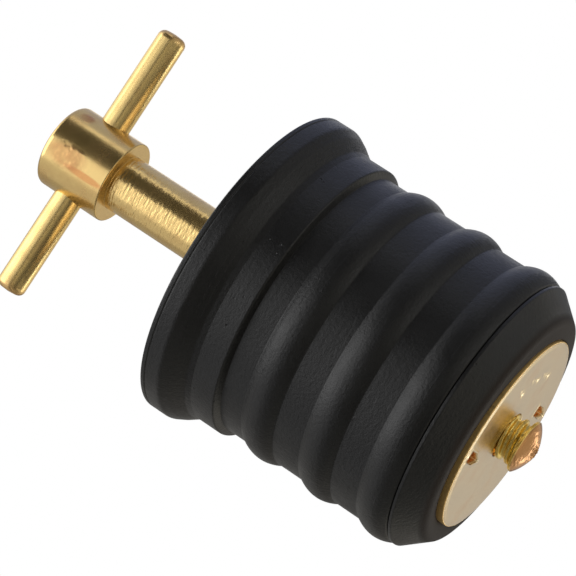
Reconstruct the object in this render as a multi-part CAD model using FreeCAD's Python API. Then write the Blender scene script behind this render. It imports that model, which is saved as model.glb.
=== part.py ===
import FreeCAD, Part

import math
import os

# Expanding drain plug. All lengths in millimetres.
# Origin: on the plug's axis, in the middle of the rubber's seat land. +Z runs towards the handle,
# +X along the cross bar.

# Rubber body, with heights counted from its tip end
RUBBER_LENGTH = 31.7
SEAT_HEIGHT = 25.18
GROOVE_RADIUS = 14.87
END_FACE_RADIUS = 12.7
END_CONE_HEIGHT = 2.7
END_EDGE_ROUND = 0.9
RUBBER_BORE_CLEARANCE = 0.34

# Sealing ribs: plain arcs that meet the groove floor in sharp creases. The first one stands behind the ledge at
# the end cone's foot.
RIB_COUNT = 3
RIB_PITCH = 7.0
RIB_RISE = 0.64
RIB_WIDTH = 3.9
LEDGE_RISE = 0.12
LEDGE_LENGTH = 0.3
LEDGE_EDGE_ROUND = 0.15

# Seat land, and the rim with its flare, which leaves the land at a slight slope and then steepens
SEAT_RADIUS = 15.62
SEAT_LENGTH = 2.74
SEAT_STEP_LENGTH = 0.4
SEAT_EDGE_ROUND = 0.25
RIM_RADIUS = 17.2
FLARE_ROOT_LENGTH = 0.65
FLARE_ROOT_RISE = 0.16
FLARE_LENGTH = 2.9
FLARE_TURN_ROUND = 0.6
FLARE_SHOULDER_LENGTH = 1.0
FLARE_SHOULDER_DROP = 0.54
FLARE_SHOULDER_ROUND = 0.8
RIM_CORNER_ROUND = 1.0
RIM_BACK_ROUND = 0.35

# Brass discs, let into a pocket at each end of the rubber
DISC_RADIUS = 10.7
DISC_THICKNESS = 1.6
DISC_EDGE_ROLL = 0.5
DISC_PROUD = 0.55
POCKET_CLEARANCE = 0.1
POCKET_MOUTH_ROUND = 0.25

# Pointed marks punched into the nut plate's outer face, one each side of the screw, both pointing along +Y
MARK_X = 3.65
MARK_Y = 7.1
MARK_WIDTH = 1.25
MARK_LENGTH = 4.1
MARK_POINT = 1.7
MARK_DEPTH = 1.2
MARK_FLOOR_SHARE = 0.5

# Screw, with a crest diameter of 4.83 and a pitch of 1.058, and its end, staked to a domed cap
SCREW_RADIUS = 2.41
SCREW_SHOWN = 1.87
SCREW_CLEARANCE = 0.05
NUT_COUNTERSINK = 0.25
CAP_RADIUS = 2.85
CAP_BAND = 0.25
CAP_DOME_HEIGHT = 1.25
CAP_DOME_BULGE = 0.3
CAP_TIP_RADIUS = 0.5
CAP_TIP_ROUND = 0.2

# Handle: stem, hub and cross bar
STEM_RADIUS = 3.06
STEM_LENGTH = 15.38
SHOULDER_GAP = 0.02
HUB_RADIUS = 4.57
HUB_LENGTH = 7.9
HUB_LOWER_ROUND = 0.15
HUB_UPPER_ROUND = 0.6
BAR_RADIUS = 1.59
BAR_LENGTH = 31.65
BAR_ABOVE_HUB_FOOT = 4.12
BAR_END_ROUND = 0.8
BAR_END_CROWN = 0.15

# Heights that follow from the sizes above
TIP_END = -SEAT_HEIGHT
BACK_FACE = TIP_END + RUBBER_LENGTH
PLATE_OUTER = TIP_END - DISC_PROUD
PLATE_INNER = PLATE_OUTER + DISC_THICKNESS
WASHER_OUTER = BACK_FACE + DISC_PROUD
WASHER_INNER = WASHER_OUTER - DISC_THICKNESS
SHOULDER = WASHER_OUTER + SHOULDER_GAP
HUB_LOWER = SHOULDER + STEM_LENGTH
HUB_UPPER = HUB_LOWER + HUB_LENGTH
BAR_HEIGHT = HUB_LOWER + BAR_ABOVE_HUB_FOOT
CAP_BACK = PLATE_OUTER - SCREW_SHOWN

# Radii of the holes that the screw passes
SCREW_HOLE_RADIUS = SCREW_RADIUS + SCREW_CLEARANCE
RUBBER_BORE_RADIUS = SCREW_RADIUS + RUBBER_BORE_CLEARANCE
POCKET_RADIUS = DISC_RADIUS + POCKET_CLEARANCE


def corner_arc(before, corner, after, radius):
    """Start, middle and end of the arc that rounds a corner, kept inside its two sides."""
    to_before = before.sub(corner)
    to_after = after.sub(corner)
    half_angle = to_before.getAngle(to_after) / 2
    setback = radius / math.tan(half_angle)
    setback = min(setback, 0.48 * to_before.Length, 0.48 * to_after.Length)
    radius = setback * math.tan(half_angle)
    to_before.normalize()
    to_after.normalize()
    inward = to_before.add(to_after)
    inward.normalize()
    centre = corner + inward * (radius / math.sin(half_angle))
    return corner + to_before * setback, centre - inward * radius, corner + to_after * setback


def turned(outline):
    """Solid of revolution about Z from a closed outline of (radius, height, corner round).

    A fourth number makes the side that leaves its corner an arc, whose middle rises by that much."""
    corners = [FreeCAD.Vector(corner[0], 0, corner[1]) for corner in outline]
    rounds = [corner[2] for corner in outline]
    rises = [corner[3] if len(corner) > 3 else 0 for corner in outline]
    edges = []
    stops = []
    for i, corner in enumerate(corners):
        if rounds[i] > 0:
            after = corners[(i + 1) % len(corners)]
            start, middle, end = corner_arc(corners[i - 1], corner, after, rounds[i])
            edges.append(Part.Arc(start, middle, end).toShape())
            stops.append((start, end))
        else:
            stops.append((corner, corner))
    for i in range(len(corners)):
        start = stops[i][1]
        end = stops[(i + 1) % len(corners)][0]
        if rises[i] > 0:
            middle = (start + end) * 0.5 + FreeCAD.Vector(rises[i], 0, 0)
            edges.append(Part.Arc(start, middle, end).toShape())
        elif start.distanceToPoint(end) > 1e-6:
            edges.append(Part.LineSegment(start, end).toShape())
    wire = Part.Wire(Part.__sortEdges__(edges))
    solid = Part.Face(wire).revolve(FreeCAD.Vector(0, 0, 0), FreeCAD.Vector(0, 0, 1), 360)
    return solid if solid.Volume > 0 else solid.reversed()


def rubber_plug():
    """Moulded rubber: pocketed ends, coned tip, ribs, seat land and flared rim, bored for the screw."""
    ledge_radius = GROOVE_RADIUS + LEDGE_RISE
    cone_end = TIP_END + END_CONE_HEIGHT
    first_rib = cone_end + LEDGE_LENGTH
    outline = [
        (RUBBER_BORE_RADIUS, PLATE_INNER, 0),
        (POCKET_RADIUS, PLATE_INNER, 0),
        (POCKET_RADIUS, TIP_END, POCKET_MOUTH_ROUND),
        (END_FACE_RADIUS, TIP_END, END_EDGE_ROUND),
        (ledge_radius, cone_end, LEDGE_EDGE_ROUND),
        (ledge_radius, first_rib, 0),
    ]
    for i in range(RIB_COUNT):
        rib_start = first_rib + i * RIB_PITCH
        outline.append((GROOVE_RADIUS, rib_start, 0, RIB_RISE))
        outline.append((GROOVE_RADIUS, rib_start + RIB_WIDTH, 0))
    seat_start = -SEAT_LENGTH / 2
    seat_end = SEAT_LENGTH / 2
    rim_start = seat_end + FLARE_LENGTH
    outline += [
        (GROOVE_RADIUS, seat_start - SEAT_STEP_LENGTH, 0),
        (SEAT_RADIUS, seat_start, SEAT_EDGE_ROUND),
        (SEAT_RADIUS, seat_end, 0),
        (SEAT_RADIUS + FLARE_ROOT_RISE, seat_end + FLARE_ROOT_LENGTH, FLARE_TURN_ROUND),
        (RIM_RADIUS - FLARE_SHOULDER_DROP, rim_start - FLARE_SHOULDER_LENGTH, FLARE_SHOULDER_ROUND),
        (RIM_RADIUS, rim_start, RIM_CORNER_ROUND),
        (RIM_RADIUS, BACK_FACE, RIM_BACK_ROUND),
        (POCKET_RADIUS, BACK_FACE, POCKET_MOUTH_ROUND),
        (POCKET_RADIUS, WASHER_INNER, 0),
        (RUBBER_BORE_RADIUS, WASHER_INNER, 0),
    ]
    return turned(outline)


def disc(inner, outer, countersink):
    """Stamped brass disc from its rubber side to its outer side, with the die roll on the outer edge."""
    outline = [
        (SCREW_HOLE_RADIUS, inner, 0),
        (DISC_RADIUS, inner, 0),
        (DISC_RADIUS, outer, DISC_EDGE_ROLL),
        (SCREW_HOLE_RADIUS + countersink, outer, 0),
    ]
    if countersink > 0:
        towards_rubber = math.copysign(countersink, inner - outer)
        outline.append((SCREW_HOLE_RADIUS, outer + towards_rubber, 0))
    return turned(outline)


def mark_outline(x, y, share, height):
    """Closed wire of a mark's pointed outline, shrunk about its middle to a share of its size."""
    half_width = share * MARK_WIDTH / 2
    half_length = share * MARK_LENGTH / 2
    shoulder = half_length - share * MARK_POINT
    corners = [
        (-half_width, -half_length),
        (half_width, -half_length),
        (half_width, shoulder),
        (0, half_length),
        (-half_width, shoulder),
        (-half_width, -half_length),
    ]
    return Part.makePolygon([FreeCAD.Vector(x + dx, y + dy, height) for dx, dy in corners])


def punch_mark(x, y):
    """Tool shape of one mark: a point driven into the plate's outer face, centred on (x, y)."""
    mouth = mark_outline(x, y, 1, PLATE_OUTER)
    floor = mark_outline(x, y, MARK_FLOOR_SHARE, PLATE_OUTER + MARK_DEPTH)
    return Part.makeLoft([mouth, floor], True, True)


def nut_plate():
    """Threaded disc at the tip end, drawn along the screw, with its two pointed marks."""
    plate = disc(PLATE_INNER, PLATE_OUTER, NUT_COUNTERSINK)
    for side in (-1, 1):
        plate = plate.cut(punch_mark(side * MARK_X, side * MARK_Y))
    return plate


def top_washer():
    """Plain disc at the handle end, which the stem's shoulder turns against."""
    return disc(WASHER_INNER, WASHER_OUTER, 0)


def t_handle():
    """Turned brass hub, stem and screw in one piece, staked to a cap beyond the plate."""
    cap_front = CAP_BACK - CAP_BAND
    cap_tip = cap_front - CAP_DOME_HEIGHT
    solid = turned([
        (0, cap_tip, 0),
        (CAP_TIP_RADIUS, cap_tip, CAP_TIP_ROUND, CAP_DOME_BULGE),
        (CAP_RADIUS, cap_front, 0),
        (CAP_RADIUS, CAP_BACK, 0),
        (SCREW_RADIUS, CAP_BACK, 0),
        (SCREW_RADIUS, SHOULDER, 0),
        (STEM_RADIUS, SHOULDER, 0),
        (STEM_RADIUS, HUB_LOWER, 0),
        (HUB_RADIUS, HUB_LOWER, HUB_LOWER_ROUND),
        (HUB_RADIUS, HUB_UPPER, HUB_UPPER_ROUND),
        (0, HUB_UPPER, 0),
    ])
    start = FreeCAD.Vector(-HUB_RADIUS * 2, 0, BAR_HEIGHT)
    cross_hole = Part.makeCylinder(BAR_RADIUS, HUB_RADIUS * 4, start, FreeCAD.Vector(1, 0, 0))
    return solid.cut(cross_hole)


def cross_bar():
    """Round bar with rounded ends, pressed through the hub."""
    half = BAR_LENGTH / 2
    shoulder = half - BAR_END_CROWN
    bar = turned([
        (0, -half, 0),
        (BAR_RADIUS, -shoulder, BAR_END_ROUND),
        (BAR_RADIUS, shoulder, BAR_END_ROUND),
        (0, half, 0),
    ])
    bar.rotate(FreeCAD.Vector(0, 0, 0), FreeCAD.Vector(0, 1, 0), 90)
    bar.translate(FreeCAD.Vector(0, 0, BAR_HEIGHT))
    return bar


os.makedirs("parts", exist_ok=True)
for piece in (rubber_plug, nut_plate, top_washer, t_handle, cross_bar):
    shape = piece()
    shape.exportStep("parts/" + piece.__name__ + ".step")
    print(piece.__name__, "valid", shape.isValid(), "solids", len(shape.Solids))
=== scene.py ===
import math

import bpy
import numpy as np
from mathutils import Matrix, Vector


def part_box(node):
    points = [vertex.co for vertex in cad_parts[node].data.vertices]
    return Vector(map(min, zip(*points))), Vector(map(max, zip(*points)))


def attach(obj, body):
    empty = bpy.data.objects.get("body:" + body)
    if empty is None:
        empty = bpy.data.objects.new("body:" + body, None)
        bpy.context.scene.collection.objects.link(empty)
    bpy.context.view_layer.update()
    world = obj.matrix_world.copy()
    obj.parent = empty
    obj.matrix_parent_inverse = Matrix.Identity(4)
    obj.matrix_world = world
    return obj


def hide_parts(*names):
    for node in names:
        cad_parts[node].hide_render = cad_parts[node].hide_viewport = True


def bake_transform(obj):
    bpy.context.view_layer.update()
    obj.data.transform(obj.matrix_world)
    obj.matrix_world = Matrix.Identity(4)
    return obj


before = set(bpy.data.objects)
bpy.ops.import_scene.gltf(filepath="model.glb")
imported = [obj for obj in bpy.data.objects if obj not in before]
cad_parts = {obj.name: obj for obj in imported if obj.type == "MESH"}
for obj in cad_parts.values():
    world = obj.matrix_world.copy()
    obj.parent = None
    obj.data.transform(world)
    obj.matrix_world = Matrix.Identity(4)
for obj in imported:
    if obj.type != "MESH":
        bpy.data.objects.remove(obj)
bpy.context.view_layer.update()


# Rubber plug
# The sealing body: black rubber moulded in a steel mould that was turned on a lathe, so its skin carries the faint
# rings of that tool. It is squeezed lengthwise between two brass discs and then grips the drain with its ribs.
MM = 0.001
plug_low, plug_high = (np.array(corner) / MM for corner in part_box("rubber_plug"))
TIP_END = plug_low[2]
BACK_FACE = plug_high[2]
RIM_RADIUS = plug_high[0]
plate_low, plate_high = (np.array(corner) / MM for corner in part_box("nut_plate"))
washer_low, washer_high = (np.array(corner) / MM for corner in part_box("top_washer"))
DISC_RADIUS = plate_high[0]
POCKET_RADIUS = DISC_RADIUS + 0.03
BORE_RADIUS = 2.75
GROOVE_RADIUS = 14.87
END_FACE_RADIUS = 12.7
END_CONE_HEIGHT = 2.7
RIB_PITCH = 7.0
RIB_RISE = 0.64
RIB_WIDTH = 3.9
LEDGE_RISE = 0.12
LEDGE_LENGTH = 0.3
CREASE_DEPTH = 0.2
SEAT_RADIUS = 15.62
SEAT_LENGTH = 2.74
SEAT_STEP = 0.4
FLARE_LENGTH = 2.9
PARTING_LINE_HEIGHT = 31.1
PARTING_LINE_DEPTH = 0.07


def rounded(corners, closed, step, turns=6, beside=0.04):
    """Profile through corners of (radius, height, corner round).

    Each corner becomes an arc that touches both of its sides. A straight stretch is split into equal lengths of
    at most step, with one more row close beside each arc, so that the shading turns in the arc only."""
    corners = np.array(corners, float)
    spots = corners[:, :2]
    pieces = []
    for i, (spot, radius) in enumerate(zip(spots, corners[:, 2])):
        if radius == 0:
            pieces.append(spot[None])
            continue
        back = spots[i - 1] - spot
        ahead = spots[(i + 1) % len(spots)] - spot
        back_length, ahead_length = np.linalg.norm(back), np.linalg.norm(ahead)
        back, ahead = back / back_length, ahead / ahead_length
        half = math.acos(back @ ahead) / 2
        setback = min(radius / math.tan(half), 0.45 * back_length, 0.45 * ahead_length)
        inward = (back + ahead) / np.linalg.norm(back + ahead)
        centre = spot + inward * setback / math.cos(half)
        swing = math.pi - 2 * half
        part = np.linspace(0, 1, turns + 1)[:, None]
        start, end = spot + back * setback - centre, spot + ahead * setback - centre
        pieces.append(centre + (np.sin((1 - part) * swing) * start + np.sin(part * swing) * end) / math.sin(swing))
    rows = []
    for i, piece in enumerate(pieces):
        rows.append(piece)
        if i + 1 == len(pieces) and not closed:
            break
        start, end = piece[-1], pieces[(i + 1) % len(pieces)][0]
        length = np.linalg.norm(end - start)
        if length > 6 * beside:
            count = max(1, math.ceil((length - 2 * beside) / step))
            part = np.linspace(beside, length - beside, count + 1)[:, None] / length
            rows.append(start + (end - start) * part)
    return np.concatenate(rows)


def turned(profile, columns):
    """Grid of points of a profile of (radius, height) carried round the Z axis."""
    angle = np.linspace(0, 2 * math.pi, columns, endpoint=False)
    radius, height = profile[:, :1], profile[:, 1:]
    return np.stack([radius * np.cos(angle), radius * np.sin(angle), height + 0 * angle], axis=-1)


def add_object(name, points, faces, material):
    """Puts points in millimetres and faces into a smooth mesh object at the origin."""
    mesh = bpy.data.meshes.new(name)
    mesh.from_pydata((points * MM).tolist(), [], faces)
    mesh.polygons.foreach_set("use_smooth", np.ones(len(faces), bool))
    mesh.materials.append(material)
    mesh.update()
    made = bpy.data.objects.new(name, mesh)
    bpy.context.scene.collection.objects.link(made)
    return made


def skin(name, grid, material, poles=None):
    """Closed mesh over a grid of rows by columns that wraps round along its columns.

    Without poles the rows wrap too, as on a ring. With poles each end is closed by a fan of triangles. The faces
    are turned so that the volume they enclose comes out positive."""
    index = np.arange(grid.shape[0] * grid.shape[1]).reshape(grid.shape[:2])
    beside = np.roll(index, -1, axis=1)
    last = None if poles is None else -1
    below, below_beside = np.roll(index, -1, axis=0), np.roll(beside, -1, axis=0)
    quads = np.stack([index[:last], beside[:last], below_beside[:last], below[:last]], axis=-1).reshape(-1, 4)
    points = grid.reshape(-1, 3)
    fans = np.zeros((0, 3), int)
    if poles is not None:
        tips = np.full(grid.shape[1], len(points))
        fans = np.concatenate([np.stack([tips, beside[0], index[0]], axis=-1),
                               np.stack([tips + 1, index[-1], beside[-1]], axis=-1)])
        points = np.concatenate([points, poles])
    corner = points[quads]
    volume = np.einsum("ij,ij->", np.cross(corner[:, 0], corner[:, 1]) + np.cross(corner[:, 1], corner[:, 2]), corner[:, 2])
    volume += np.einsum("ij,ij->", np.cross(corner[:, 2], corner[:, 3]), corner[:, 0])
    if volume < 0:
        quads, fans = quads[:, ::-1], fans[:, ::-1]
    return add_object(name, points, quads.tolist() + fans.tolist(), material)


def linear(code):
    """Linear colour of an sRGB hex code."""
    parts = [int(code[i:i + 2], 16) / 255 for i in (1, 3, 5)]
    return [c / 12.92 if c <= 0.04045 else ((c + 0.055) / 1.055) ** 2.4 for c in parts] + [1.0]


def add_node(tree, kind, settings=None, values=None, links=None):
    """Adds a node, sets its attributes and input values, and links its inputs to other nodes' outputs."""
    node = tree.nodes.new(kind)
    for key, setting in (settings or {}).items():
        setattr(node, key, setting)
    for key, value in (values or {}).items():
        node.inputs[key].default_value = value
    for key, (source, output) in (links or {}).items():
        tree.links.new(source.outputs[output], node.inputs[key])
    return node


def new_material(name):
    """Material with an empty node tree and its output."""
    material = bpy.data.materials.new(name)
    material.use_nodes = True
    material.node_tree.nodes.clear()
    return material, material.node_tree, add_node(material.node_tree, "ShaderNodeOutputMaterial")


# Black moulded rubber: nearly black with carbon black, so that what the eye gets is a soft, wide sheen
moulded_rubber, tree, output = new_material("moulded_rubber")
place = add_node(tree, "ShaderNodeTexCoord")
axes = add_node(tree, "ShaderNodeSeparateXYZ", links={0: (place, "Object")})
RING_SPACING = 0.22
SKIN_GRAIN = 0.35
BLOOM_SIZE = 5.0
SCUFF_LENGTH = 3.0
PIT_SPACING = 0.8
PITTED_CELLS = 0.08
PITTED_CELLS_ON_SEAT = 0.3
MOULD_LINES = (4.67, 18.8, 19.9, 27.6, 28.1)
MOULD_LINE_WIDTH = 0.07
rings = add_node(tree, "ShaderNodeTexNoise", {"noise_dimensions": "1D"},
                 {"Scale": 1 / (RING_SPACING * MM), "Detail": 3.0, "Roughness": 0.6}, {"W": (axes, "Z")})
grain = add_node(tree, "ShaderNodeTexNoise", None,
                 {"Scale": 1 / (SKIN_GRAIN * MM), "Detail": 4.0, "Roughness": 0.7}, {"Vector": (place, "Object")})
bloom = add_node(tree, "ShaderNodeTexNoise", None,
                 {"Scale": 1 / (BLOOM_SIZE * MM), "Detail": 4.0, "Roughness": 0.6}, {"Vector": (place, "Object")})
# Scuffs run slantwise round the body: a noise drawn out along one slanting direction
slanted = add_node(tree, "ShaderNodeMapping", None, {"Rotation": (0, math.radians(38), 0), "Scale": (0.12, 1, 1)},
                   {"Vector": (place, "Object")})
scuffs = add_node(tree, "ShaderNodeTexNoise", None,
                  {"Scale": 8 / (SCUFF_LENGTH * MM), "Detail": 3.0, "Roughness": 0.6}, {"Vector": (slanted, "Vector")})
# Fine raised lines, left by the joints and scratches of the mould, fade in and out round the body
fading = add_node(tree, "ShaderNodeMapRange", None, {"From Min": 0.4, "From Max": 0.62}, {"Value": (bloom, "Fac")})
lines = add_node(tree, "ShaderNodeValue")
for height in MOULD_LINES:
    line = add_node(tree, "ShaderNodeMath", {"operation": "COMPARE"},
                    {1: (TIP_END + height) * MM, 2: MOULD_LINE_WIDTH * MM}, {0: (axes, "Z")})
    lines = add_node(tree, "ShaderNodeMath", {"operation": "ADD"}, None, {0: (lines, 0), 1: (line, 0)})
lines = add_node(tree, "ShaderNodeMath", {"operation": "MULTIPLY"}, None, {0: (lines, 0), 1: (fading, 0)})
# Small pits: the middles of a few cells, more of them on the seat land
cells = add_node(tree, "ShaderNodeTexVoronoi", None, {"Scale": 1 / (PIT_SPACING * MM)}, {"Vector": (place, "Object")})
on_seat = add_node(tree, "ShaderNodeMath", {"operation": "COMPARE"}, {1: 0.0, 2: SEAT_LENGTH / 2 * MM}, {0: (axes, "Z")})
share = add_node(tree, "ShaderNodeMapRange", None,
                 {"To Min": 1 - PITTED_CELLS, "To Max": 1 - PITTED_CELLS_ON_SEAT}, {"Value": (on_seat, 0)})
pitted = add_node(tree, "ShaderNodeMath", {"operation": "GREATER_THAN"}, None, {0: (cells, "Color"), 1: (share, 0)})
pits = add_node(tree, "ShaderNodeMapRange", None,
                {"From Min": 0.05, "From Max": 0.2, "To Min": 1.0, "To Max": 0.0}, {"Value": (cells, "Distance")})
pits = add_node(tree, "ShaderNodeMath", {"operation": "MULTIPLY"}, None, {0: (pits, 0), 1: (pitted, 0)})
ring_bump = add_node(tree, "ShaderNodeBump", None, {"Strength": 1.0, "Distance": 0.006 * MM}, {"Height": (rings, "Fac")})
grain_bump = add_node(tree, "ShaderNodeBump", None, {"Strength": 1.0, "Distance": 0.05 * MM},
                      {"Height": (grain, "Fac"), "Normal": (ring_bump, "Normal")})
scuff_bump = add_node(tree, "ShaderNodeBump", None, {"Strength": 1.0, "Distance": 0.03 * MM},
                      {"Height": (scuffs, "Fac"), "Normal": (grain_bump, "Normal")})
line_bump = add_node(tree, "ShaderNodeBump", None, {"Strength": 1.0, "Distance": 0.06 * MM},
                     {"Height": (lines, 0), "Normal": (scuff_bump, "Normal")})
pit_bump = add_node(tree, "ShaderNodeBump", {"invert": True}, {"Strength": 1.0, "Distance": 0.07 * MM},
                    {"Height": (pits, 0), "Normal": (line_bump, "Normal")})
dullness = add_node(tree, "ShaderNodeMapRange", None,
                    {"From Min": 0.3, "From Max": 0.7, "To Min": 0.32, "To Max": 0.46}, {"Value": (bloom, "Fac")})
# The end face round the nut plate is rubbed dull, and tinted a little brown as a painted reflection of the brass plate
# beside it
on_end = add_node(tree, "ShaderNodeMapRange", None,
                  {"From Min": (TIP_END + 0.8) * MM, "From Max": (TIP_END + 0.3) * MM}, {"Value": (axes, "Z")})
dullness = add_node(tree, "ShaderNodeMix", {"data_type": "FLOAT"}, {"B": 0.8},
                    {"Factor": (on_end, 0), "A": (dullness, "Result")})
tone = add_node(tree, "ShaderNodeMix", {"data_type": "RGBA"}, {"A": linear("#0A0A0B"), "B": linear("#1C120A")},
                {"Factor": (on_end, 0)})
rubber_shader = add_node(tree, "ShaderNodeBsdfPrincipled", None, {"Specular IOR Level": 0.44},
                         {"Base Color": (tone, "Result"), "Roughness": (dullness, "Result"), "Normal": (pit_bump, "Normal")})
tree.links.new(rubber_shader.outputs["BSDF"], output.inputs["Surface"])

seat_start, seat_end = -SEAT_LENGTH / 2, SEAT_LENGTH / 2
first_rib = TIP_END + END_CONE_HEIGHT + LEDGE_LENGTH
parting_line = TIP_END + PARTING_LINE_HEIGHT
across = np.linspace(0, 1, 25)[:, None]
rib_arc = np.concatenate([GROOVE_RADIUS + RIB_RISE * 4 * across * (1 - across), across * RIB_WIDTH, 0 * across], axis=1)
outline = [
    (BORE_RADIUS, plate_high[2], 0.1),
    (POCKET_RADIUS, plate_high[2], 0.1),
    (POCKET_RADIUS, TIP_END, 0.25),
    (END_FACE_RADIUS, TIP_END, 0.9),
    (GROOVE_RADIUS + LEDGE_RISE, first_rib - LEDGE_LENGTH, 0.15),
    (GROOVE_RADIUS + LEDGE_RISE, first_rib, 0.03),
    (GROOVE_RADIUS - CREASE_DEPTH, first_rib + 0.08, 0.03),
    *(rib_arc[1:] + [0, first_rib, 0]),
    *(rib_arc + [0, first_rib + RIB_PITCH, 0]),
    *(rib_arc + [0, first_rib + 2 * RIB_PITCH, 0]),
    (GROOVE_RADIUS, seat_start - SEAT_STEP, 0.04),
    (SEAT_RADIUS, seat_start, 0.25),
    (SEAT_RADIUS, seat_end, 0.1),
    (SEAT_RADIUS + 0.16, seat_end + 0.65, 0.6),
    (RIM_RADIUS - 0.54, seat_end + FLARE_LENGTH - 1, 0.8),
    (RIM_RADIUS, seat_end + FLARE_LENGTH, 1.0),
    (RIM_RADIUS, parting_line - 0.12, 0.05),
    (RIM_RADIUS - PARTING_LINE_DEPTH, parting_line, 0.05),
    (RIM_RADIUS, parting_line + 0.12, 0.05),
    (RIM_RADIUS, BACK_FACE, 0.35),
    (POCKET_RADIUS, BACK_FACE, 0.25),
    (POCKET_RADIUS, washer_low[2], 0.1),
    (BORE_RADIUS, washer_low[2], 0.1),
]
plug_grid = turned(rounded(outline, True, 0.45), 240)
# The pocket's lip stands higher over the brass on the +X side than on the -X side
LIP_SWAY = 0.3
LIP_WIDTH = 1.3
radius = np.hypot(plug_grid[..., 0], plug_grid[..., 1])
near_lip = np.clip(1 - (radius - POCKET_RADIUS) / LIP_WIDTH, 0, 1) * (plug_grid[..., 2] < TIP_END + 0.5)
plug_grid[..., 2] -= LIP_SWAY * near_lip * plug_grid[..., 0] / radius * np.clip((TIP_END + 0.5 - plug_grid[..., 2]) / 0.5, 0, 1)
rubber_plug = skin("rubber_plug", plug_grid, moulded_rubber)
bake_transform(rubber_plug)
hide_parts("rubber_plug")


# Nut plate
# A brass disc stamped from sheet, threaded in the middle, with two pointed marks driven into its outer face by a
# punch. Stamping leaves a rolled edge on that face and fine upright shear marks on the rim. The screw draws it up.
MARK_X = 3.65
MARK_Y = 7.1
MARK_WIDTH = 1.25
MARK_LENGTH = 4.1
MARK_POINT = 1.7
MARK_DEPTH = 1.2
MARK_TAPER = 0.31
MARK_LIP = 0.06
MARK_LIP_WIDTH = 0.3
NICKS = ((7.05, 0.6), (7.0, -0.2), (6.96, -0.9), (6.1, -2.2), (6.05, -2.85), (5.82, -3.5), (4.05, -4.44), (4.2, -5.2))
NICK_DEPTH = 0.1
NICK_RADIUS = 0.32
THREAD_HOLE = 2.46
EDGE_ROLL_START = 10.12
EDGE_ROLL_DROP = 0.09
EDGE_ROUND = 0.12


def brass_material(name, colour, grain_direction, grain_depth, dent_direction, dent_depth, haze):
    """Brass with fine tool marks, shallow waves and patches of tarnish. The two directions say how the marks and the
    waves are stretched along X, Y and Z, the depths are in millimetres, and haze is the lowest and highest
    roughness."""
    material, tree, output = new_material(name)
    place = add_node(tree, "ShaderNodeTexCoord")
    along_marks = add_node(tree, "ShaderNodeMapping", None, {"Scale": grain_direction}, {"Vector": (place, "Object")})
    along_dents = add_node(tree, "ShaderNodeMapping", None, {"Scale": dent_direction}, {"Vector": (place, "Object")})
    marks = add_node(tree, "ShaderNodeTexNoise", None, {"Scale": 1 / (0.25 * MM), "Detail": 3.0, "Roughness": 0.6},
                     {"Vector": (along_marks, "Vector")})
    dents = add_node(tree, "ShaderNodeTexNoise", None, {"Scale": 1 / (1.6 * MM), "Detail": 1.5, "Roughness": 0.45},
                     {"Vector": (along_dents, "Vector")})
    stain = add_node(tree, "ShaderNodeTexNoise", None, {"Scale": 1 / (2.5 * MM), "Detail": 5.0, "Roughness": 0.6},
                     {"Vector": (place, "Object")})
    tarnish = add_node(tree, "ShaderNodeMapRange", None,
                       {"From Min": 0.5, "From Max": 0.75, "To Min": 0.0, "To Max": 0.3}, {"Value": (stain, "Fac")})
    tone = add_node(tree, "ShaderNodeMix", {"data_type": "RGBA"}, {"A": linear(colour), "B": linear("#C08A58")},
                    {"Factor": (tarnish, "Result")})
    dullness = add_node(tree, "ShaderNodeMapRange", None,
                        {"From Min": 0.3, "From Max": 0.7, "To Min": haze[0], "To Max": haze[1]}, {"Value": (stain, "Fac")})
    mark_bump = add_node(tree, "ShaderNodeBump", None, {"Strength": 1.0, "Distance": grain_depth * MM},
                         {"Height": (marks, "Fac")})
    dent_bump = add_node(tree, "ShaderNodeBump", None, {"Strength": 1.0, "Distance": dent_depth * MM},
                         {"Height": (dents, "Fac"), "Normal": (mark_bump, "Normal")})
    shader = add_node(tree, "ShaderNodeBsdfPrincipled", None, {"Metallic": 1.0},
                      {"Base Color": (tone, "Result"), "Roughness": (dullness, "Result"), "Normal": (dent_bump, "Normal")})
    tree.links.new(shader.outputs["BSDF"], output.inputs["Surface"])
    return material


def tint(material, mask, colour):
    """Mixes another colour into a material's base colour by a mask node's first output."""
    tree = material.node_tree
    shader = tree.nodes["Principled BSDF"]
    before = shader.inputs["Base Color"].links[0].from_node
    mixed = add_node(tree, "ShaderNodeMix", {"data_type": "RGBA"}, {"B": linear(colour)},
                     {"Factor": (mask, 0), "A": (before, "Result")})
    tree.links.new(mixed.outputs["Result"], shader.inputs["Base Color"])


# Stamped brass, tumbled bright: a hazy mirror, paler than the turned parts
stamped_brass = brass_material("stamped_brass", "#E3CFA8", (1.0, 1.0, 0.15), 0.002, (0.5, 0.5, 0.5), 0.009, (0.2, 0.26))
# The sheared rim is fresh metal, more golden than the tumbled face
tree = stamped_brass.node_tree
place = add_node(tree, "ShaderNodeTexCoord")
flat = add_node(tree, "ShaderNodeVectorMath", {"operation": "MULTIPLY"}, {1: (1, 1, 0)}, {0: (place, "Object")})
from_axis = add_node(tree, "ShaderNodeVectorMath", {"operation": "LENGTH"}, None, {0: (flat, "Vector")})
on_rim = add_node(tree, "ShaderNodeMapRange", None,
                  {"From Min": (DISC_RADIUS - 0.12) * MM, "From Max": (DISC_RADIUS - 0.03) * MM}, {"Value": (from_axis, "Value")})
tint(stamped_brass, on_rim, "#F6D088")
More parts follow.
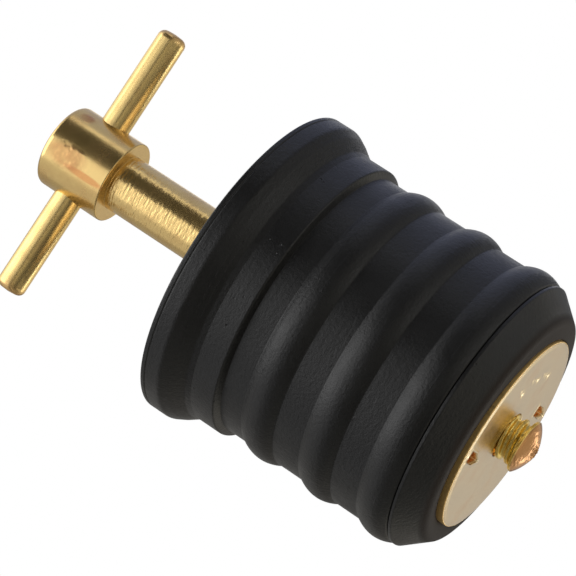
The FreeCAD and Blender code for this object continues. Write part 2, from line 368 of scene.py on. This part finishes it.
# The shears left it matt, with upright marks
upright = add_node(tree, "ShaderNodeMapping", None, {"Scale": (1.0, 1.0, 0.05)}, {"Vector": (place, "Object")})
sheared = add_node(tree, "ShaderNodeTexNoise", None, {"Scale": 1 / (0.5 * MM), "Detail": 1.0}, {"Vector": (upright, "Vector")})
sheared = add_node(tree, "ShaderNodeMath", {"operation": "MULTIPLY"}, None, {0: (sheared, 0), 1: (on_rim, 0)})
shader = tree.nodes["Principled BSDF"]
matt = add_node(tree, "ShaderNodeMix", {"data_type": "FLOAT"}, {"B": 0.5},
                {"Factor": (on_rim, 0), "A": (shader.inputs["Roughness"].links[0].from_node, "Result")})
tree.links.new(matt.outputs["Result"], shader.inputs["Roughness"])
shear_bump = add_node(tree, "ShaderNodeBump", None, {"Strength": 1.0, "Distance": 0.25 * MM},
                      {"Height": (sheared, 0), "Normal": (shader.inputs["Normal"].links[0].from_node, "Normal")})
tree.links.new(shear_bump.outputs["Normal"], shader.inputs["Normal"])
# The punched marks are tinted a deeper copper the further down inside them: painted shade of the recesses
axes = add_node(tree, "ShaderNodeSeparateXYZ", links={0: (place, "Object")})
mark_shade = add_node(tree, "ShaderNodeMapRange", None,
                   {"From Min": (plate_low[2] + 0.08) * MM, "From Max": (plate_low[2] + 0.3) * MM}, {"Value": (axes, "Z")})
in_plate = add_node(tree, "ShaderNodeMath", {"operation": "LESS_THAN"}, {1: plate_high[2] * MM}, {0: (axes, "Z")})
mark_shade = add_node(tree, "ShaderNodeMath", {"operation": "MULTIPLY"}, None, {0: (mark_shade, 0), 1: (in_plate, 0)})
off_rim = add_node(tree, "ShaderNodeMath", {"operation": "SUBTRACT"}, None, {0: (mark_shade, 0), 1: (on_rim, 0)})
mark_shade = add_node(tree, "ShaderNodeClamp", None, None, {0: (off_rim, 0)})
tint(stamped_brass, mark_shade, "#E0B07C")


def outside_mark(x, y):
    """Distance outside a pointed mark centred on the origin, negative inside: the largest of the distances beyond
    its five straight sides."""
    shoulder = MARK_LENGTH / 2 - MARK_POINT
    slope = np.array([MARK_POINT, MARK_WIDTH / 2]) / math.hypot(MARK_POINT, MARK_WIDTH / 2)
    point = (np.abs(x) - MARK_WIDTH / 2) * slope[0] + (y - shoulder) * slope[1]
    return np.maximum(np.maximum(np.abs(x) - MARK_WIDTH / 2, -MARK_LENGTH / 2 - y), point)


def disc(name, inner, outer, marks, nicks, material):
    """Stamped disc between two heights: a profile turned round the axis, whose outer face sinks by a steep taper
    inside each mark, with a small raised lip round it, and by a bell curve of the distance at each nick."""
    towards_rubber = math.copysign(1, inner - outer)
    rolled = outer + towards_rubber * EDGE_ROLL_DROP
    profile = rounded([(THREAD_HOLE, inner, 0.05), (DISC_RADIUS, inner, 0.05), (DISC_RADIUS, rolled, EDGE_ROUND),
                       (EDGE_ROLL_START, outer, 1.5), (THREAD_HOLE, outer, 0.15)], True, 0.11)
    grid = turned(profile, 440)
    on_face = (np.abs(profile[:, 1] - outer) < EDGE_ROLL_DROP) & (profile[:, 0] < EDGE_ROLL_START)
    x, y = grid[..., 0], grid[..., 1]
    for mark_x, mark_y in marks:
        away = outside_mark(x - mark_x, y - mark_y)
        sunk = MARK_DEPTH * np.clip(-away / MARK_TAPER, 0, 1)
        raised = MARK_LIP * np.clip(1 - np.abs(away) / MARK_LIP_WIDTH, 0, 1)
        grid[..., 2] += on_face[:, None] * towards_rubber * (sunk - raised * (away > 0))
    for nick_x, nick_y in nicks:
        bell = np.exp(-((x - nick_x) ** 2 + (y - nick_y) ** 2) / NICK_RADIUS ** 2)
        grid[..., 2] += on_face[:, None] * towards_rubber * NICK_DEPTH * bell
    return skin(name, grid, material)


nut_plate = disc("nut_plate", plate_high[2], plate_low[2], [(-MARK_X, -MARK_Y), (MARK_X, MARK_Y)], NICKS, stamped_brass)
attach(nut_plate, "plate")
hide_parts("nut_plate")


# Top washer
# The same sheet brass, stamped plain. It lies in the rubber's pocket under the stem's shoulder, which turns on it.
top_washer = disc("top_washer", washer_low[2], washer_high[2], [], [], stamped_brass)
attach(top_washer, "plug")
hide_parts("top_washer")


# T-handle
# Hub, stem and screw turned from one brass bar and polished, with a right-hand thread cut on the screw. The screw's
# end was hammered over into a blunt cap, so that the nut plate can't run off it.
handle_low, handle_high = (np.array(corner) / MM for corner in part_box("t_handle"))
SCREW_RADIUS = 2.41
THREAD_DEPTH = 0.36
THREAD_PITCH = 1.058
THREAD_WEAR = 0.03
THREAD_FLANK = 0.55
THREAD_LENGTH = 8.0
THREAD_START = 0.1
CAP_RADIUS = 2.85
CAP_BAND = 0.25
CAP_DOME_HEIGHT = 1.25
CAP_DOME_BULGE = 0.3
CAP_TIP_RADIUS = 0.5
CAP_CHAMFER = 0.1
CHEW_DEPTH = 0.3
CHEW_RADIUS = 1.25
STEM_RADIUS = 3.06
STEM_LENGTH = 15.38
HUB_RADIUS = handle_high[0]
HUB_LENGTH = 7.9
HUB_UPPER = handle_high[2]
HUB_LOWER = HUB_UPPER - HUB_LENGTH
SHOULDER = HUB_LOWER - STEM_LENGTH
CAP_TIP = handle_low[2]
CAP_FRONT = CAP_TIP + CAP_DOME_HEIGHT
CAP_BACK = CAP_FRONT + CAP_BAND
# Turned brass, polished: a clean golden mirror with the tool's rings running round it
turned_brass = brass_material("turned_brass", "#EBCA87", (0.06, 0.06, 1.0), 0.004, (0.7, 0.7, 1.3), 0.018, (0.2, 0.28))
# The hammered cap is redder than the turned parts
tree = turned_brass.node_tree
place = add_node(tree, "ShaderNodeTexCoord")
axes = add_node(tree, "ShaderNodeSeparateXYZ", links={0: (place, "Object")})
on_cap = add_node(tree, "ShaderNodeMapRange", None, {"From Min": (CAP_FRONT + 0.02) * MM, "From Max": (CAP_FRONT - 0.1) * MM},
                  {"Value": (axes, "Z")})
tint(turned_brass, on_cap, "#C08E5C")
# The screw is tinted a paler, clearer yellow than the turned parts: painted light that stands in for the bright light
# on its thread
below_shoulder = add_node(tree, "ShaderNodeMath", {"operation": "LESS_THAN"}, {1: SHOULDER * MM}, {0: (axes, "Z")})
painted_screw_light = add_node(tree, "ShaderNodeMath", {"operation": "SUBTRACT"}, None, {0: (below_shoulder, 0), 1: (on_cap, 0)})
tint(turned_brass, painted_screw_light, "#FFE084")


def near_spot(tree, place, centre, reach):
    """Mask that is 1 at a point in millimetres and falls to 0 at a reach along X, Y and Z from it."""
    off = add_node(tree, "ShaderNodeVectorMath", {"operation": "SUBTRACT"}, {1: [c * MM for c in centre]},
                   {0: (place, "Object")})
    scaled = add_node(tree, "ShaderNodeVectorMath", {"operation": "DIVIDE"}, {1: [r * MM for r in reach]},
                      {0: (off, "Vector")})
    away = add_node(tree, "ShaderNodeVectorMath", {"operation": "LENGTH"}, None, {0: (scaled, "Vector")})
    return add_node(tree, "ShaderNodeMapRange", None, {"From Min": 1.0, "From Max": 0.6}, {"Value": (away, "Value")})


# Two knocked places on the hub and a redder stripe, each given by its middle and its reach in millimetres
KNOCKS = (((-0.8, -4.45, HUB_LOWER + 5.0), (1.5, 2.0, 2.8)), ((3.6, -2.8, HUB_LOWER + 6.0), (0.8, 0.8, 1.0)))
STRIPE = ((-1.64, -4.27, HUB_LOWER + 2.2), (0.45, 1.5, 2.9))
KNOCK_DEPTH = 0.16
crumpled = add_node(tree, "ShaderNodeTexNoise", None, {"Scale": 1 / (1.5 * MM), "Detail": 2.0, "Roughness": 0.5},
                    {"Vector": (place, "Object")})
around_mean = add_node(tree, "ShaderNodeMath", {"operation": "SUBTRACT"}, {1: 0.5}, {0: (crumpled, 0)})
tint(turned_brass, near_spot(tree, place, *STRIPE), "#D9A268")
for centre, reach in KNOCKS:
    knocked = near_spot(tree, place, centre, reach)
    stained = add_node(tree, "ShaderNodeMath", {"operation": "MULTIPLY"}, None, {0: (knocked, 0), 1: (crumpled, 0)})
    tint(turned_brass, stained, "#C08458")
    knocked = add_node(tree, "ShaderNodeMath", {"operation": "MULTIPLY"}, None, {0: (knocked, 0), 1: (around_mean, 0)})
    shader = tree.nodes["Principled BSDF"]
    knock_bump = add_node(tree, "ShaderNodeBump", None, {"Strength": 1.0, "Distance": KNOCK_DEPTH * MM},
                          {"Height": (knocked, 0), "Normal": (shader.inputs["Normal"].links[0].from_node, "Normal")})
    tree.links.new(knock_bump.outputs["Normal"], shader.inputs["Normal"])
# The stem keeps the lathe's chatter: short waves round it, crowded along it
on_stem = add_node(tree, "ShaderNodeMapRange", None, {"From Min": HUB_LOWER * MM, "From Max": (HUB_LOWER - 0.3) * MM},
                   {"Value": (axes, "Z")})
crowded = add_node(tree, "ShaderNodeMapping", None, {"Scale": (0.8, 0.8, 3.6)}, {"Vector": (place, "Object")})
chatter = add_node(tree, "ShaderNodeTexNoise", None, {"Scale": 1 / (0.9 * MM), "Detail": 2.0, "Roughness": 0.5},
                   {"Vector": (crowded, "Vector")})
chatter = add_node(tree, "ShaderNodeMath", {"operation": "MULTIPLY"}, None, {0: (chatter, 0), 1: (on_stem, 0)})
shader = tree.nodes["Principled BSDF"]
chatter_bump = add_node(tree, "ShaderNodeBump", None, {"Strength": 1.0, "Distance": 0.07 * MM},
                        {"Height": (chatter, 0), "Normal": (shader.inputs["Normal"].links[0].from_node, "Normal")})
tree.links.new(chatter_bump.outputs["Normal"], shader.inputs["Normal"])

across = np.linspace(0, 1, 30)[:, None]
dome = np.concatenate([CAP_TIP_RADIUS + (CAP_RADIUS - CAP_TIP_RADIUS) * across + CAP_DOME_BULGE * 4 * across * (1 - across),
                       CAP_TIP + CAP_DOME_HEIGHT * across, 0 * across], axis=1)
profile = rounded([
    (0.05, CAP_TIP, 0),
    *dome,
    (CAP_RADIUS - CAP_CHAMFER, CAP_BACK, 0.04),
    (SCREW_RADIUS, CAP_BACK, 0.04),
    (SCREW_RADIUS, SHOULDER, 0.04),
    (STEM_RADIUS, SHOULDER, 0.1),
    (STEM_RADIUS, HUB_LOWER, 0.05),
    (HUB_RADIUS, HUB_LOWER, 0.15),
    (HUB_RADIUS, HUB_UPPER, 0.6),
    (0.05, HUB_UPPER, 0),
], False, 0.25)
thread_rows = np.arange(CAP_BACK + 0.06, CAP_BACK + THREAD_LENGTH, THREAD_PITCH / 20)
plain_row = (profile[:, 0] <= SCREW_RADIUS) & (profile[:, 1] > CAP_BACK + 0.04) & (profile[:, 1] <= thread_rows[-1])
before_thread = np.flatnonzero(plain_row)[0]
profile = np.concatenate([profile[:before_thread], np.stack([0 * thread_rows + SCREW_RADIUS, thread_rows], axis=-1),
                          profile[before_thread:][~plain_row[before_thread:]]])
handle_grid = turned(profile, 200)
turn = np.linspace(0, 1, handle_grid.shape[1], endpoint=False)
height = profile[:, 1:]
phase = (height - CAP_BACK) / THREAD_PITCH - turn + THREAD_START
from_crest = 2 * np.abs(phase - np.round(phase))
down_flank = np.clip((from_crest - 0.5) / THREAD_FLANK + 0.5, 0, 1)
cut = THREAD_DEPTH * (1 - np.cos(math.pi * down_flank)) / 2
cut += THREAD_WEAR * (0.5 + 0.5 * np.sin(23 * 2 * math.pi * turn + 9 * height)) * np.sin(7 * 2 * math.pi * turn - 11 * height) ** 2
run_out = np.clip((thread_rows[-1] - height) / THREAD_PITCH, 0, 1)
on_thread = (np.abs(profile[:, :1] - SCREW_RADIUS) < 1e-6) & (height >= thread_rows[0]) & (height <= thread_rows[-1])
handle_grid[..., :2] *= 1 - on_thread[..., None] * (cut * run_out / SCREW_RADIUS)[..., None]
# The hammer left the cap's tip lumpy: dents that fade out with the distance from the axis
radius = np.hypot(handle_grid[..., 0], handle_grid[..., 1])
dents = np.abs(np.sin(2.5 * 2 * math.pi * turn + 7 * radius) * np.sin(4 * 2 * math.pi * turn - 11 * radius))
on_tip = np.clip(1 - radius / CHEW_RADIUS, 0, 1) ** 0.5 * (handle_grid[..., 2] < CAP_FRONT)
handle_grid[..., 2] += CHEW_DEPTH * dents * on_tip * np.clip(radius / 0.2, 0, 1)
poles = np.array([[0, 0, CAP_TIP], [0, 0, HUB_UPPER]])
t_handle = skin("t_handle", handle_grid, turned_brass, poles)
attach(t_handle, "handle")
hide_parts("t_handle")


# Cross bar
# A drawn brass rod with its ends rounded over, pressed through the hub and gripped by it.
bar_low, bar_high = (np.array(corner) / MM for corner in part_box("cross_bar"))
BAR_RADIUS = bar_high[1]
BAR_END = bar_high[0]
BAR_END_CROWN = 0.15
BAR_HEIGHT = (bar_low[2] + bar_high[2]) / 2
# Drawn brass: smoother than the turned parts, with its faint marks along the rod
drawn_brass = brass_material("drawn_brass", "#F1D28C", (0.06, 1.0, 1.0), 0.0002, (0.3, 1.0, 1.0), 0.003, (0.28, 0.34))
# Its cut ends are a little redder than the rod
tree = drawn_brass.node_tree
place = add_node(tree, "ShaderNodeTexCoord")
axes = add_node(tree, "ShaderNodeSeparateXYZ", links={0: (place, "Object")})
along = add_node(tree, "ShaderNodeMath", {"operation": "ABSOLUTE"}, None, {0: (axes, "X")})
at_end = add_node(tree, "ShaderNodeMapRange", None,
                  {"From Min": (BAR_END - 1.1) * MM, "From Max": (BAR_END - 0.4) * MM, "To Max": 0.45}, {"Value": (along, 0)})
tint(drawn_brass, at_end, "#D9A574")
bar_shoulder = BAR_END - BAR_END_CROWN
bar_profile = rounded([(0.05, -BAR_END, 0), (BAR_RADIUS, -bar_shoulder, 0.8), (BAR_RADIUS, bar_shoulder, 0.8),
                       (0.05, BAR_END, 0)], False, 0.25, 10)
bar_grid = np.roll(turned(bar_profile, 160), 1, axis=-1) + np.array([0, 0, BAR_HEIGHT])
bar_poles = np.array([[-BAR_END, 0, BAR_HEIGHT], [BAR_END, 0, BAR_HEIGHT]])
cross_bar = skin("cross_bar", bar_grid, drawn_brass, bar_poles)
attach(cross_bar, "handle")
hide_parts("cross_bar")


# Studio
# A pale floor, a white room, and cards round the object that the polished brass mirrors: soft boxes, grey cards
# and black flags. A bearing is in degrees round the Z axis, 0 on the -Y side and 90 on the +X side.
FLOOR_DROP = 0.2
FLOOR_HALF = 3.0
pale_floor, tree, output = new_material("pale_floor")
floor_shader = add_node(tree, "ShaderNodeBsdfPrincipled", None, {"Base Color": linear("#D6D0C0"), "Roughness": 0.8})
tree.links.new(floor_shader.outputs["BSDF"], output.inputs["Surface"])
corners = np.array([[-1, -1, 0], [1, -1, 0], [1, 1, 0], [-1, 1, 0]]) * FLOOR_HALF / MM
floor = add_object("floor", corners - [0, 0, FLOOR_DROP / MM], [[0, 1, 2, 3]], pale_floor)

world = bpy.data.worlds.new("white_room")
bpy.context.scene.world = world
world.use_nodes = True
tree = world.node_tree
tree.nodes.clear()
ray = add_node(tree, "ShaderNodeLightPath")
ROOM_LIGHT = 0.85
seen = add_node(tree, "ShaderNodeMath", {"operation": "MAXIMUM"},
                links={0: (ray, "Is Camera Ray"), 1: (ray, "Is Transmission Ray")})
seen = add_node(tree, "ShaderNodeMath", {"operation": "MAXIMUM"}, links={0: (seen, 0), 1: (ray, "Is Glossy Ray")})
level = add_node(tree, "ShaderNodeMapRange", None, {"To Min": ROOM_LIGHT, "To Max": 1.0}, {"Value": (seen, 0)})
room = add_node(tree, "ShaderNodeBackground", None, {"Color": (1, 1, 1, 1)}, {"Strength": (level, "Result")})
add_node(tree, "ShaderNodeOutputWorld", links={"Surface": (room, "Background")})


def towards(bearing, rise):
    """Unit vector at a bearing round the Z axis and a rise above the level, in degrees."""
    b, r = math.radians(bearing), math.radians(rise)
    return Vector((math.sin(b) * math.cos(r), -math.cos(b) * math.cos(r), math.sin(r)))


def card(name, bearing, rise, distance, width, height, lean, colour):
    """Flat card that faces the object and shows its colour in reflections alone, not to the camera or the floor."""
    material, tree, output = new_material(name)
    shader = add_node(tree, "ShaderNodeEmission", None, {"Color": linear(colour)})
    tree.links.new(shader.outputs["Emission"], output.inputs["Surface"])
    out = towards(bearing, rise)
    side = out.cross(Vector((0, 0, 1))).normalized()
    up = side.cross(out)
    turn = math.radians(lean)
    side, up = math.cos(turn) * side + math.sin(turn) * up, math.cos(turn) * up - math.sin(turn) * side
    spots = [out * distance + sx * width / 2 * side + sy * height / 2 * up for sx, sy in ((-1, -1), (1, -1), (1, 1), (-1, 1))]
    made = add_object(name, np.array(spots) / MM, [[0, 1, 2, 3]], material)
    made.visible_camera = False
    made.visible_diffuse = False
    made.visible_shadow = False
    return made


def soft_box(name, bearing, rise, distance, width, height, brightness):
    """Area light that faces the object. Its brightness is that of its face, where 1 is the white of the room."""
    lamp = bpy.data.lights.new(name, "AREA")
    lamp.shape = "RECTANGLE"
    lamp.size, lamp.size_y = width, height
    lamp.energy = brightness * math.pi * width * height
    made = bpy.data.objects.new(name, lamp)
    out = towards(bearing, rise)
    made.matrix_world = Matrix.Translation(out * distance) @ out.to_track_quat("Z", "Y").to_matrix().to_4x4()
    made.visible_camera = False
    bpy.context.scene.collection.objects.link(made)
    return made


card("black_flag", 37, 28, 0.40, 0.42, 0.70, 12, "#46443F")
card("white_card_right", 74, 25, 0.5, 0.09, 0.8, 12, "#FFFFFF")
card("grey_card_left", -82, 25, 0.62, 0.50, 1.0, 0, "#CCCCCC")
card("grey_card_left_behind", -136, 25, 0.6, 0.85, 1.0, 0, "#A6A4A0")
card("grey_card_right", 88, 25, 0.62, 0.40, 1.0, 0, "#A8AEC4")
card("grey_card_right_behind", 126, 25, 0.61, 0.59, 1.0, 0, "#ACB2CC")
for bearing, colour in ((-140, "#7C7872"), (-84, "#626262"), (-28, "#383838"), (28, "#505054"), (84, "#7A7A80"), (140, "#7C7E84")):
    card("low_wall", bearing, -4, 0.45, 0.5, 0.14, 0, colour)
card("grey_card_behind", 180, -17, 0.6, 0.5, 0.4, 0, "#BAB6B4")
card("grey_card_below", 180, -74, 0.19, 0.36, 0.24, 0, "#CCCAC2")
card("dark_card_below", -30, -46, 0.18, 0.225, 0.09, 0, "#505050")
for bearing, colour in ((-84, "#8A8880"), (0, "#97948A"), (84, "#A09E98")):
    card("low_card", bearing, -42, 0.2, 0.36, 0.2, 0, colour)
soft_box("soft_box_above", -22, 62, 0.6, 0.66, 0.6, 1.5)
soft_box("soft_box_low", 60, -46, 0.18, 0.195, 0.0225, 1.6)
soft_box("soft_box_behind", 180, -49, 0.17, 0.12, 0.028, 3.4)


# Camera
# A long lens at the photograph's viewing angle: below the plug's middle, on its -Y side, rolled so that the axis
# runs from the upper left to the lower right of the picture.
PICTURE = 576
FOCAL_LENGTH = 2800
SENSOR = 36.0
PLATE_CENTRE_U = 507.38
PLATE_CENTRE_V = 435.48
PLATE_DISTANCE = 273.8
RISE = math.radians(17.441)
SWING = math.radians(0.0)
ROLL = math.radians(33.249)
forward = Vector((math.cos(RISE) * math.sin(SWING), math.cos(RISE) * math.cos(SWING), math.sin(RISE)))
level_right = forward.cross(Vector((0, 0, 1))).normalized()
level_up = level_right.cross(forward)
right = math.sin(ROLL) * level_right - math.cos(ROLL) * level_up
up = math.cos(ROLL) * level_right + math.sin(ROLL) * level_up
ray_to_plate = forward + (PLATE_CENTRE_U - PICTURE / 2) / FOCAL_LENGTH * right - (PLATE_CENTRE_V - PICTURE / 2) / FOCAL_LENGTH * up
camera_data = bpy.data.cameras.new("camera")
camera_data.sensor_width = SENSOR
camera_data.lens = SENSOR * FOCAL_LENGTH / PICTURE
camera = bpy.data.objects.new("camera", camera_data)
bpy.context.scene.collection.objects.link(camera)
camera.matrix_world = Matrix.Translation((Vector((0, 0, plate_low[2])) - PLATE_DISTANCE * ray_to_plate) * MM) @ Matrix(
    (right, up, -forward)).transposed().to_4x4()
bpy.context.scene.camera = camera
bpy.context.scene.view_settings.view_transform = "Standard"
